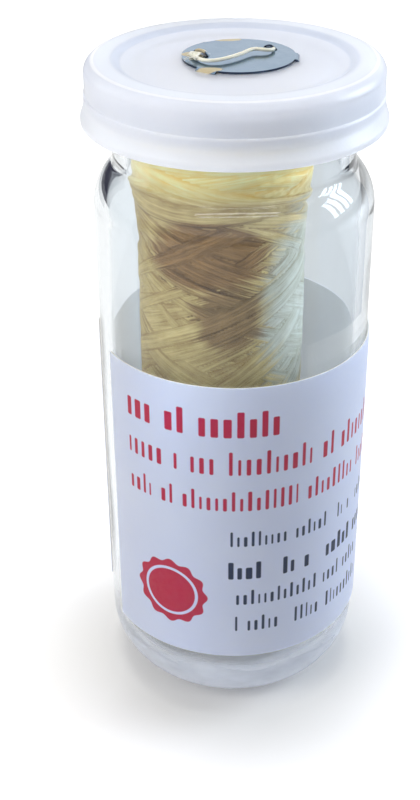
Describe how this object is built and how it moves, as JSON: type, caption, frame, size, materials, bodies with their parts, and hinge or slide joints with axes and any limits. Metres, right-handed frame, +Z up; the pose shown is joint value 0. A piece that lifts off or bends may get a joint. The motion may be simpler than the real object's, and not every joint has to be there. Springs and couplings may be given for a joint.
{
  "type": "dental floss dispenser",
  "caption": "Small round-shouldered glass vial with a snap cap, a steel floss cutter disc in the cap and a bobbin of waxed silk floss inside.",
  "frame": {"origin": "centre of the vial's axis at the surface it stands on", "axes": "+Z up along the vial's axis, -Y towards the front of the label"},
  "size_m": [0.0234, 0.0234, 0.0561],
  "materials": {
    "glass": "clear drawn tubing glass",
    "label": "coated white paper with red and dark blue print",
    "cap": "frosted natural polyethylene",
    "steel": "bright punched sheet",
    "strand": "waxed silk strand",
    "core": "plain tube",
    "silk": "waxed silk, cross wound"
  },
  "bodies": {
    "vial": {"glass_vial": "glass", "vial_label": "label"},
    "cap": {"snap_cap": "cap", "cutter_disc": "steel", "floss_tail": "strand", "floss_lead": "strand"},
    "bobbin": {"bobbin_core": "core", "wound_floss": "silk", "floss_outer_turns": "silk"}
  },
  "joints": [
    {"name": "cap_lift", "type": "slide", "parent": "vial", "child": "cap", "axis": [0, 0, 1], "range_m": [0, 0.025], "deforming": ["floss_lead"]},
    {"name": "bobbin_spin", "type": "hinge", "parent": "vial", "child": "bobbin", "pos_m": [-0.001, 0, 0], "axis": [0, 0, 1], "continuous": true}
  ]
}
